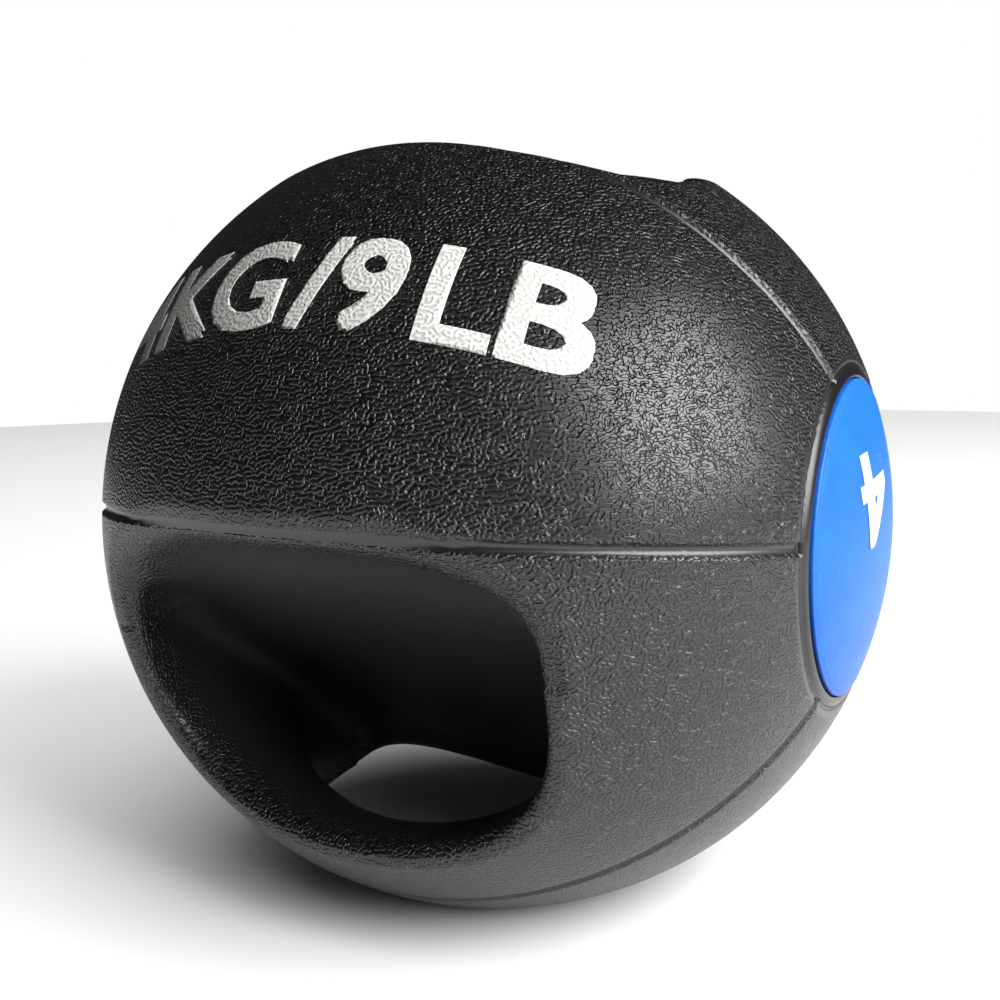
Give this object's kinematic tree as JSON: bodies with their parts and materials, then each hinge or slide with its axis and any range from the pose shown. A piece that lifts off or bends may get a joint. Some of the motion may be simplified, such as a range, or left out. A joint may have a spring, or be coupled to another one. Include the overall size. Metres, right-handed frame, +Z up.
{
  "type": "medicine ball",
  "caption": "Black grained rubber medicine ball with a moulded grip bar over a through hand pocket on two opposite sides, seam grooves and domed blue end caps.",
  "frame": {"origin": "centre of the ball, which is the middle of its bounding box", "axes": "+X along the axis through the two blue end caps, +Z up in the pose in which the ball rests on the rim of its lower hand pocket, -Y towards the front printed panel"},
  "size_m": [0.23, 0.229, 0.2142],
  "materials": {
    "grained_rubber": "black vulcanised rubber with a raised leather grain and a soft sheen",
    "smooth_rubber": "smooth black moulded rubber",
    "carcass_rubber": "dull dark filled rubber, unseen inside",
    "blue_rubber": "bright blue paint on finely grained rubber, slightly uneven edge",
    "white_print": "white screen-printed ink that follows the grain"
  },
  "bodies": {
    "root": {"cover_panel_front_print": "grained_rubber", "cover_panel_upper_front": "grained_rubber", "cover_panel_upper_rear": "grained_rubber", "cover_panel_rear_print": "grained_rubber", "cover_panel_lower_rear": "grained_rubber", "cover_panel_lower_front": "grained_rubber", "grip_upper": "grained_rubber", "grip_lower": "grained_rubber", "pocket_liner_upper": "smooth_rubber", "pocket_liner_lower": "smooth_rubber", "bezel_ring_right": "smooth_rubber", "bezel_ring_left": "smooth_rubber", "carcass_half_front": "carcass_rubber", "carcass_half_rear": "carcass_rubber", "end_cap_right": "blue_rubber", "end_cap_left": "blue_rubber", "print_front_1": "white_print", "print_front_2": "white_print", "print_front_3": "white_print", "print_front_4": "white_print", "print_front_5": "white_print", "print_front_6": "white_print", "print_front_7": "white_print", "print_rear_1": "white_print", "print_rear_2": "white_print", "print_rear_3": "white_print", "print_rear_4": "white_print", "print_rear_5": "white_print", "print_rear_6": "white_print", "print_rear_7": "white_print", "cap_numeral_right": "white_print", "cap_numeral_left": "white_print"}
  },
  "joints": []
}
